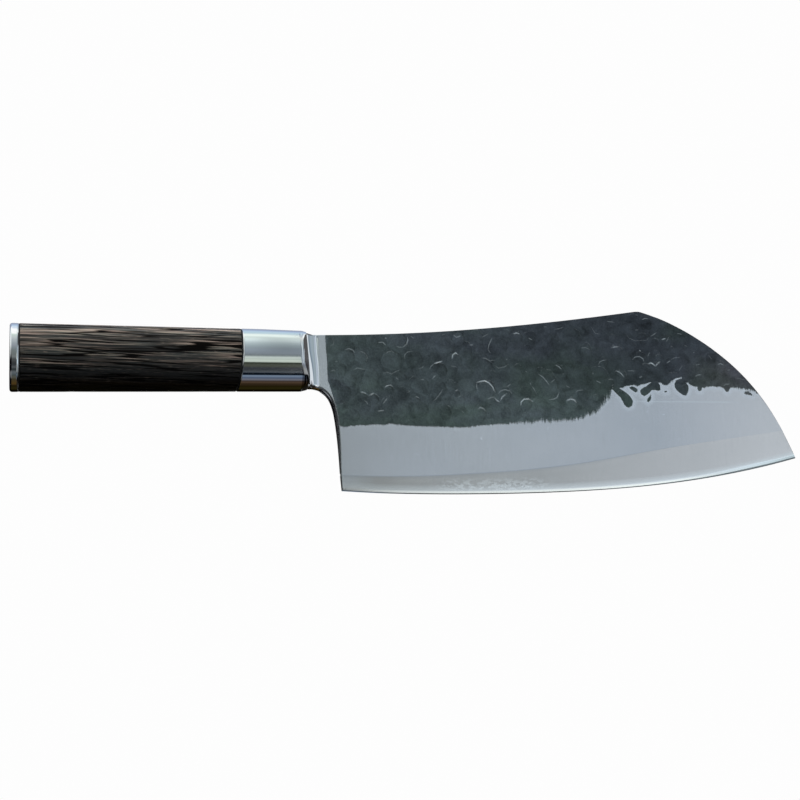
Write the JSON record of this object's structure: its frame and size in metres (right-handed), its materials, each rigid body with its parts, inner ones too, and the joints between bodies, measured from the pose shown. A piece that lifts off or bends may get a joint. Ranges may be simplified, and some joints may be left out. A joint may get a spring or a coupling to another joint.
{
  "type": "meat cleaver",
  "caption": "Meat cleaver with a broad hammered blade, curved front, polished ground bevel, steel bolster and capped dark wood handle.",
  "frame": {"origin": "centre of the end cap's flat rear face, on the handle axis", "axes": "+X along the handle axis from the butt to the blade tip, +Z towards the spine, +Y towards the blade's left side as the knife is held"},
  "size_m": [0.331, 0.019, 0.0787],
  "materials": {
    "core_steel": "ground and honed hard carbon steel",
    "forged_cladding": "black forge scale over hammer dimples on the upper face, ground and polished below",
    "polished_stainless": "mirror polished stainless steel",
    "black_fibre": "matt black",
    "dark_wood": "open-grained dark brown wood with tan streaks along the grain, thin oil finish",
    "plain_steel": "plain steel",
    "plated_steel": "zinc plated steel",
    "cured_epoxy": "amber cured epoxy"
  },
  "bodies": {
    "root": {"core_steel": "core_steel", "cladding_right": "forged_cladding", "cladding_left": "forged_cladding", "bolster": "polished_stainless", "end_cap": "polished_stainless", "front_liner": "black_fibre", "rear_liner": "black_fibre", "handle_wood": "dark_wood", "tang_rod": "plain_steel", "tang_nut": "plated_steel", "flat_washer": "plated_steel", "spring_washer": "plated_steel", "bore_epoxy": "cured_epoxy"}
  },
  "joints": []
}
